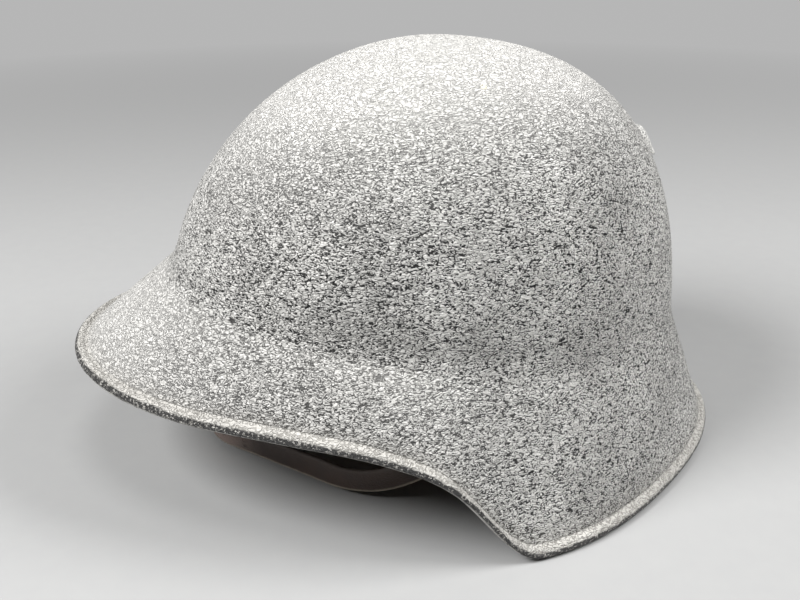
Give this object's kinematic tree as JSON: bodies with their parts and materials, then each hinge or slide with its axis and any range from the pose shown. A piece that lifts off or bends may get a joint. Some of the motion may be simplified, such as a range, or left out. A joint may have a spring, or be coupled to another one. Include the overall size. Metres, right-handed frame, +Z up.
{
  "type": "combat helmet",
  "caption": "Steel combat helmet with a round bowl, short visor, flared skirt, rolled rim, rear vent hood, leather liner and leather chinstrap.",
  "frame": {"origin": "centre of the plan outline, on the table that the rim stands on", "axes": "+Z up to the crown, +Y to the rear, -Y to the visor, +X to the wearer's left"},
  "size_m": [0.2448, 0.302, 0.1815],
  "materials": {
    "shell_paint": "matte textured",
    "hood_steel": "worn",
    "liner_steel": "dull",
    "buckle_steel": "worn",
    "liner_leather": "matte",
    "strap_leather": "satin",
    "felt": "matte",
    "lace": "matte"
  },
  "bodies": {
    "helmet": {"shell": "shell_paint", "vent_hood": "hood_steel", "bracket_front": "liner_steel", "bracket_rear": "liner_steel", "bracket_left": "liner_steel", "bracket_right": "liner_steel", "hoop": "liner_steel", "pad_front": "felt", "pad_rear": "felt", "pad_left": "felt", "pad_right": "felt", "headband": "liner_leather", "tongue_1": "liner_leather", "tongue_2": "liner_leather", "tongue_3": "liner_leather", "tongue_4": "liner_leather", "tongue_5": "liner_leather", "tongue_6": "liner_leather", "tongue_7": "liner_leather", "tongue_8": "liner_leather", "tongue_9": "liner_leather", "crown_lace": "lace", "bracket_rivet_front": "liner_steel", "bracket_rivet_rear": "liner_steel", "bracket_rivet_left": "liner_steel", "bracket_rivet_right": "liner_steel", "band_rivet_1": "liner_steel", "band_rivet_2": "liner_steel", "band_rivet_3": "liner_steel", "band_rivet_4": "liner_steel", "band_rivet_5": "liner_steel", "band_rivet_6": "liner_steel", "band_rivet_7": "liner_steel", "band_rivet_8": "liner_steel", "pivot_rivet_left": "liner_steel", "pivot_rivet_right": "liner_steel", "pivot_washer_left": "liner_steel", "pivot_washer_right": "liner_steel"},
    "chinstrap": {"strap_left": "strap_leather", "strap_right": "strap_leather", "buckle": "buckle_steel"},
    "keeper": {"keeper": "strap_leather"}
  },
  "joints": [
    {"name": "chinstrap_swing", "type": "hinge", "parent": "helmet", "child": "chinstrap", "pos_m": [0, 0.012, 0.048], "axis": [1, 0, 0], "range_deg": [-18, 100]},
    {"name": "keeper_slide", "type": "slide", "parent": "chinstrap", "child": "keeper", "axis": [-0.7071, 0.7071, 0], "range_m": [-0.002, 0.006]}
  ]
}
